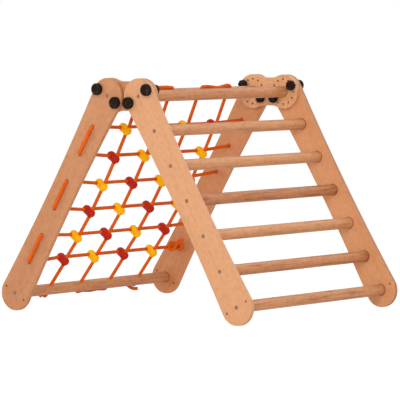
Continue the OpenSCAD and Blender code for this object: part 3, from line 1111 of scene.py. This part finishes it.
@dataclass
class Net:
    """The laced net: one rope across, one rope down, and a bead at each crossing.

    Points are given in the net side's frame: down the leg, across, and inwards. Listed
    sags, bows, lies and points are in millimetres and leans in degrees. Stops are shares
    of the way from column to column.
    """

    layout: Layout
    side: Place
    rope_finish: Material
    yellow: Material
    red: Material
    column_pitch: float = 152 * MM
    columns: int = 4
    row_sag: Row = (12, 13, 13, 12, 9, 0)
    row_inside: Row = (-7, -2, 1, 1, -3, -10)
    row_bow: float = 1 * MM
    rope_radius: float = 5.25 * MM
    rope_turn: float = 5.55 * MM
    rope_step: float = 2 * MM
    rope_corners: int = 16
    rope_reach: float = 2.6 * MM
    strand_height: float = 0.15 * MM
    bead_grip: float = 15 * MM
    bead_lobe: float = 14.1 * MM
    bead_pitch: float = 19.5 * MM
    bead_neck: float = 13.2 * MM
    bead_ribs: int = 14
    rib_corners: int = 6
    lobe_rings: int = 14
    neck_rings: int = 16
    rib_depth: float = 0.75 * MM
    bead_lean: Row = (2, 4, 5, 5, 7, 8)
    collar_section: float = 1.1 * MM
    collar_sink: float = 0.35 * MM
    collar_rings: int = 10
    collar_corners: int = 28
    column_stops: Points = ((0.25, 0.5, 0.75), (0.25, 0.5, 0.75), (0.2, 0.5, 0.87))
    column_bows: Points = ((2, 2, 2), (1, 3, 1.5), (0.5, -1.3, 3))
    column_lies: Points = ((0, 0, 0), (-6, -4, -6), (1, 7, 0))
    knot: Points = (
        (7, -42, -19), (4, -36, -13), (-3, -31, -8), (-3, -24, -1), (-1, -21, 7),
        (-5, -18, 16), (-15, -16, 16), (-22, -17, 11), (-23, -23, 4), (-16, -30, 4),
        (-5, -35, 5), (4, -38, 3), (7, -41, -4), (1, -42, -13), (-8, -39, -17),
        (-15, -33, -14), (-14, -27, -7), (-18, -24, -3), (-27, -20, 1), (-33, -16, 4),
        (-38, -11, 8))
    knot_end: Points = ((-6, -16, 2), (-11, -9, 4), (0, -4, 0), (0, 7.5, 0))
    coil_radius: float = 8 * MM
    coil_turns: float = 1.75
    coil_points: int = 29
    coil_pitch: float = 11.8 * MM
    coil_shift: float = 2.5 * MM
    coil_low: float = 0.5 * MM
    coil_out: float = 31 * MM
    near_drop: float = 6 * MM
    near_tail: Points = ((11.5, -14, -11), (13.5, -10.7, -6))
    far_tail: Points = ((13.5, -12.5, -9), (15, -8, -2), (14, -1, 5.5), (9, 7, 12.5))

    def row_x(self, row: int) -> float:
        """How far down the leg a row's holes are."""
        return self.layout.first_row + row * self.layout.row_pitch

    def column_y(self, column: int) -> float:
        """How far across a column is."""
        return (column - (self.columns - 1) / 2) * self.column_pitch

    def crossing(self, row: int) -> tuple[Array, Array]:
        """Where the rope across and the rope down pass the beads of a row.

        Args:
            row: The row, from 0 at the top.

        Returns:
            The two places as (down the leg, inwards).
        """
        across = np.array([self.row_x(row) + self.row_sag[row] * MM,
                           self.row_inside[row] * MM])
        lean = math.radians(self.bead_lean[row])
        return across, across + self.bead_pitch * np.array([math.sin(lean), math.cos(lean)])

    def rim_turn(self, hole: list[float], out: list[float], away: list[float]) -> Array:
        """The rope's quarter turn round the rim of a hole.

        Args:
            hole: The middle of the hole's mouth.
            out: The way along the hole.
            away: The way that the rope leaves.

        Returns:
            The points.
        """
        angle = np.radians([0.0, 30.0, 60.0, 90.0])[:, None]
        bend = np.sin(angle) * np.array(out) - np.cos(angle) * np.array(away)
        return np.array(hole) + self.layout.rope_hole * np.array(away) + self.rope_turn * bend

    def tied(self, points: Points) -> Array:
        """Places the points of the stopper knot in front of the far rail.

        Args:
            points: They, in millimetres down the leg from the last row, across from the
                rail's inner face, and inwards.

        Returns:
            The points in the side's frame.
        """
        foot = np.array([self.layout.last_row, self.layout.rail_inner, 0.0])
        return foot + np.array(points) * MM

    def row_path(self, row: int) -> Array:
        """One row of the rope across.

        Args:
            row: The row, from 0 at the top.

        Returns:
            The points, from the near rail to the far one.
        """
        (x, z), _ = self.crossing(row)
        hole, inner = self.row_x(row), self.layout.rail_inner
        middle = [[x, self.column_y(column) + end * self.bead_grip, z]
                  for column in range(self.columns) for end in (-1, 1)]
        return np.array([[hole, -inner, 0.0], *middle, [hole, inner, 0.0]])

    def row_link(self, row: int, end: float) -> Array:
        """The rope's link from one row to the next along a rail's outer face.

        Args:
            row: The upper row.
            end: -1 for the near rail, or 1 for the far one.

        Returns:
            The points, downwards.
        """
        outer = end * self.layout.rail_outer
        top, low = self.row_x(row), self.row_x(row + 1)
        first = self.rim_turn([top, outer, 0], [0, end, 0], [1, 0, 0])
        last = self.rim_turn([low, outer, 0], [0, end, 0], [-1, 0, 0])
        middle = [[(top + low) / 2, outer + end * self.rope_turn, self.row_bow]]
        return np.concatenate([first, middle, last[::-1]])

    def column_path(self, column: int) -> Array:
        """One column of the rope down.

        Args:
            column: The column, from 0 at the near rail.

        Returns:
            The points, from the top bar to the bottom bar.
        """
        y = self.column_y(column)
        middle = [[x + end * self.bead_grip, y, z]
                  for _, (x, z) in map(self.crossing, range(self.layout.rows))
                  for end in (-1, 1)]
        top, low = self.layout.rung_radius, self.layout.leg_length - self.layout.rung_radius
        return np.array([[top, y, 0.0], *middle, [low, y, 0.0]])

    def column_link(self, column: int, way: float) -> Array:
        """The rope's link from one column to the next past a bar.

        Args:
            column: The nearer column.
            way: -1 for over the top bar, or 1 for under the bottom bar.

        Returns:
            The points, towards the far rail.
        """
        bar = 0.0 if way < 0.0 else self.layout.leg_length
        face = bar + way * self.layout.rung_radius
        here, there = self.column_y(column), self.column_y(column + 1)
        first = self.rim_turn([face, here, 0], [way, 0, 0], [0, 1, 0])
        last = self.rim_turn([face, there, 0], [way, 0, 0], [0, -1, 0])
        middle = [[face + way * (self.rope_turn + bow * MM), here + stop * self.column_pitch,
                   lie * MM]
                  for stop, bow, lie in zip(self.column_stops[column],
                                            self.column_bows[column],
                                            self.column_lies[column])]
        return np.concatenate([first, middle, last[::-1]])

    def down_end(self, column: int, drop: float, tail: Points) -> Array:
        """The end of the rope down: it turns outwards under the bottom bar and is wound
        into a coil behind it, and the tail bends forward again.

        Args:
            column: The column that ends here.
            drop: How much further it comes down before it turns.
            tail: The tail's last points, in millimetres down from the bar's lower face.

        Returns:
            The points, from the bar's hole to the tail's end.
        """
        foot = np.array([self.layout.leg_length + self.layout.rung_radius,
                         self.column_y(column), 0.0])
        turn = self.rim_turn(foot + [drop, 0, 0], [1, 0, 0], [0, 0, -1])
        share = np.linspace(0.0, self.coil_turns, self.coil_points)
        angle = 2.0 * np.pi * share
        coil = np.stack([self.coil_low + self.coil_radius * np.cos(angle),
                         -self.coil_shift - self.coil_pitch * share,
                         -self.coil_out - self.coil_radius * np.sin(angle)], axis=1)
        bend = np.radians([30.0, 60.0, 90.0])
        last = coil[-1, 1] + np.array([0.67, 1.33, 2.0]) * MM
        back = np.stack([self.coil_low + self.coil_radius * np.sin(bend), last,
                         self.coil_radius * (2.0 - np.cos(bend)) - self.coil_out], axis=1)
        return np.concatenate([turn, foot + coil, foot + back, foot + np.array(tail) * MM])

    def laced(self, count: int, path: Callable, link: Callable) -> list[Array]:
        """Joins a rope's rows or columns, the first and every other one run backwards.

        Args:
            count: How many there are.
            path: Gives the points of one of them.
            link: Gives the link after one, on the side given as -1 or 1.

        Returns:
            The runs of points.
        """
        parts = [path(0)[::-1]]
        for number in range(1, count):
            back = number % 2 == 0
            parts.append(link(number - 1, 1.0 if back else -1.0))
            parts.append(path(number)[::-1] if back else path(number))
        return parts

    def across(self) -> Array:
        """The route of the rope across, from the far rail's first hole to its knot.

        Returns:
            The points.
        """
        seat = self.layout.rail_inner + self.layout.rail_thickness / 2
        start = [[self.layout.first_row, seat, 0.0]]
        parts = self.laced(self.layout.rows, self.row_path, self.row_link)
        return np.concatenate([start, *parts[:-1], parts[-1][:-1], self.tied(self.knot)])

    def down(self) -> Array:
        """The route of the rope down, with the ends at its first and last column."""
        return np.concatenate([
            self.down_end(0, self.near_drop, self.near_tail)[::-1],
            *self.laced(self.columns, self.column_path, self.column_link),
            self.down_end(self.columns - 1, 0.0, self.far_tail)])

    def strand(self, surface: Surface, route: Array) -> float:
        """Adds a braided rope along a route.

        The section's radius rises where two strands cross on top: it is the rope's own,
        plus a small height times 1 + the product of two sines that wind opposite ways.

        Args:
            surface: The mesh that it is added to.
            route: Its points in the net side's frame.

        Returns:
            Its length.
        """
        path = self.side.of(softened(route, self.rope_step, self.rope_reach))
        length = lengths_along(path)
        along = length / (2 * self.rope_radius)
        turn = BRAID_STRANDS * round_angles(self.rope_corners)
        run = along[:, None] * (2.0 * np.pi * BRAID_LEAD)
        relief = np.sin(turn + run) * np.sin(turn - run)
        radius = self.rope_radius + self.strand_height * (1.0 + relief)
        surface.sheet(tube(path, radius), along=along)
        return length[-1]

    def rope(self, name: str, *routes: Array) -> None:
        """Makes a rope.

        Args:
            name: The piece's name.
            *routes: The rope's route, and that of its end if this isn't drawn on from it.
        """
        surface = Surface()
        length = sum(self.strand(surface, route) for route in routes)
        surface.build(name, self.rope_finish, "net_" + name, "net_frame")
        log.info("rope %s, %.2f m", name, length)

    def bead(self, row: int, column: int) -> None:
        """Makes a bead: two ribbed lobes on a neck, with a low collar round each hole.

        Along the bead's axis the radius is the smooth greatest of two circles and the
        neck: the eighth root of the sum of their eighth powers. Ribs run along the axis:
        the radius falls by a small share times the square of a cosine of their angle.

        Args:
            row: The row, from 0 at the top.
            column: The column, from 0 at the near rail.
        """
        y = self.column_y(column)
        start, finish = (self.side.of([x, y, z]) for x, z in self.crossing(row))
        axis = unit(finish - start)
        spot = Place(start, self.side.second, np.cross(axis, self.side.second), axis)
        lobe, neck, pitch = self.bead_lobe, self.bead_neck, self.bead_pitch
        cap = lobe * np.cos(np.linspace(0.02, np.pi / 2, self.lobe_rings))
        between = np.linspace(0.0, pitch, self.neck_rings + 2)[1:-1]
        heights = np.concatenate([-cap, between, pitch + cap[::-1]])
        low, high = (np.sqrt(np.clip(lobe**2 - (heights - centre) ** 2, 0.0, None))
                     for centre in (0.0, pitch))
        inside = np.clip(np.minimum(heights, pitch - heights) / (0.2 * pitch), 0.0, 1.0)
        radii = ((low**8 + high**8 + (neck * inside) ** 8) ** 0.125)[:, None]
        angle = round_angles(self.bead_ribs * self.rib_corners)
        rib = np.cos(angle * self.bead_ribs / 2) ** 2
        surface = Surface()
        surface.sheet(turned(spot, heights, radii * (1.0 - self.rib_depth / lobe * rib)))
        for middle, way in ((start, self.side.second), (finish, self.side.first)):
            for sign in (-1.0, 1.0):
                self.collar(surface, middle, sign * way, axis)
        yellow = (row + column) % 2 == 0
        colour = self.yellow if yellow else self.red
        name = f"bead_{row + 1}_{column + 1}"
        made = surface.build(name, colour, "net_" + name, "net_frame")

    def collar(self, surface: Surface, middle: Array, way: Array, axis: Array) -> None:
        """Adds the collar round a rope hole: a torus that is sunk into the lobe.

        Args:
            surface: The mesh that it is added to.
            middle: The lobe's centre.
            way: The way along the rope.
            axis: The bead's axis.
        """
        radius = self.rope_radius + self.collar_section
        stand = math.sqrt(self.bead_lobe**2 - radius**2) - self.collar_sink
        spot = Place(middle + stand * way, axis, np.cross(way, axis), way)
        bend = round_angles(self.collar_rings)
        heights = self.collar_section * np.sin(bend)
        radii = radius + self.collar_section * np.cos(bend)
        grid = turned(spot, heights, all_round(radii, self.collar_corners))
        surface.sheet(grid, closed=True)

    def build(self) -> None:
        """Makes both ropes and all the beads."""
        self.rope("rope_across", self.across(), self.tied(self.knot_end))
        self.rope("rope_down", self.down())
        for row in range(self.layout.rows):
            for column in range(self.columns):
                self.bead(row, column)
        log.info("%d beads", self.layout.rows * self.columns)


# ---- Studio ----


@dataclass
class Studio:
    """The floor, the lights and the camera."""

    azimuth: float = math.radians(-36.602)
    elevation: float = math.radians(-3.2905)
    eye: Vector = field(default_factory=lambda: Vector((6.0696, -8.173, 0.9268)))
    target: Vector = field(default_factory=lambda: Vector((0.0, 0.0, 0.35)))
    focal_pixels: float = 3253.6
    frame_pixels: float = 400.0
    sensor: float = 36.0
    floor_reach: float = 30.0
    floor_grey: float = 0.86
    floor_glow: float = 1.1
    floor_share: float = 0.85
    ambient: float = 0.66

    def aimed(self, name: str, data: ID, place: Vector, way: Vector) -> Object:
        """Sets up a light or a camera.

        Args:
            name: Its name.
            data: What it is.
            place: Where it stands.
            way: The way that it looks.

        Returns:
            Its object.
        """
        made = linked(name, data)
        made.location = place
        made.rotation_mode = "QUATERNION"
        made.rotation_quaternion = way.to_track_quat("-Z", "Y")
        return made

    def camera(self) -> None:
        """Places the camera as the photograph was taken."""
        data = bpy.data.cameras.new("camera")
        data.sensor_width = self.sensor
        data.lens = self.focal_pixels / self.frame_pixels * self.sensor
        data.clip_end = 100.0
        ahead = Vector((math.sin(self.azimuth) * math.cos(self.elevation),
                        math.cos(self.azimuth) * math.cos(self.elevation),
                        math.sin(self.elevation)))
        bpy.context.scene.camera = self.aimed("camera", data, self.eye, ahead)

    def shade(self, block: ID, end: str, share: float, plain: tuple, shown: tuple) -> None:
        """Gives a block one shader in the light and partly another where it is seen.

        It is seen by camera rays and through gloss and glass.

        Args:
            block: The material or world.
            end: The type name of its end node.
            share: How much of the other shader shows where it is seen.
            plain: The shader's type name and settings.
            shown: The same for the other one.
        """
        graph = Graph.cleared(block)
        path = graph.node("LightPath").outputs
        seen = graph.math("MAXIMUM", path["Is Camera Ray"], path["Is Glossy Ray"])
        seen = graph.math("MAXIMUM", seen, path["Is Transmission Ray"])
        first, second = (graph.set(graph.node(kind), **settings).outputs[0]
                         for kind, settings in (plain, shown))
        both = graph.set(graph.node("MixShader"), i0=seen * share, i1=first, i2=second)
        graph.set(graph.node(end), Surface=both.outputs[0])

    def floor(self) -> None:
        """Makes the pale floor, which keeps a soft shadow and otherwise shows white."""
        mesh = bpy.data.meshes.new("floor")
        reach = self.floor_reach
        mesh.from_pydata([(-reach, -reach, 0), (reach, -reach, 0), (reach, reach, 0),
                          (-reach, reach, 0)], [], [(0, 1, 2, 3)])
        material = bpy.data.materials.new("pale_floor")
        grey = (self.floor_grey, self.floor_grey, self.floor_grey, 1.0)
        self.shade(material, "OutputMaterial", self.floor_share,
                   ("BsdfDiffuse", {"Color": grey}),
                   ("Emission", {"Color": WHITE, "Strength": self.floor_glow}))
        mesh.materials.append(material)
        linked("floor", mesh)

    def world(self) -> None:
        """Makes a white background over a softer ambient light."""
        world = bpy.data.worlds.new("studio")
        self.shade(world, "OutputWorld", 1.0,
                   ("Background", {"Color": WHITE, "Strength": self.ambient}),
                   ("Background", {"Color": WHITE, "Strength": 1.0}))
        bpy.context.scene.world = world

    def build(self) -> None:
        """Sets up the whole studio, with square soft lights that look at the object."""
        self.camera()
        self.floor()
        self.world()
        for name, place, size, watts in (("key", (2.6, -3.6, 2.6), 2.4, 82.0),
                                         ("front", (3.6, -4.9, 0.8), 1.6, 46.0),
                                         ("fill", (-3.2, -2.6, 1.8), 2.6, 31.0),
                                         ("back", (0.5, 3.6, 2.8), 2.4, 48.0)):
            data = bpy.data.lights.new(name, "AREA")
            data.size = size
            data.energy = watts
            self.aimed(name, data, place, self.target - Vector(place))


def main() -> None:
    """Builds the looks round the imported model."""
    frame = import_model()
    bpy.context.scene.view_settings.view_transform = "Standard"
    Studio().build()
    layout = Layout()
    finishes = Finishes()
    Timbers(frame, finishes, layout).build()
    Grips(layout, finishes.skin("black_knobs", BLACK)).build()
    Net(layout, layout.net_side, finishes.rope(),
        finishes.skin("yellow_beads", YELLOW), finishes.skin("red_beads", RED)).build()
    bpy.context.view_layer.update()


if __name__ == "__main__":
    logging.basicConfig(level=logging.INFO, format="%(message)s")
    main()
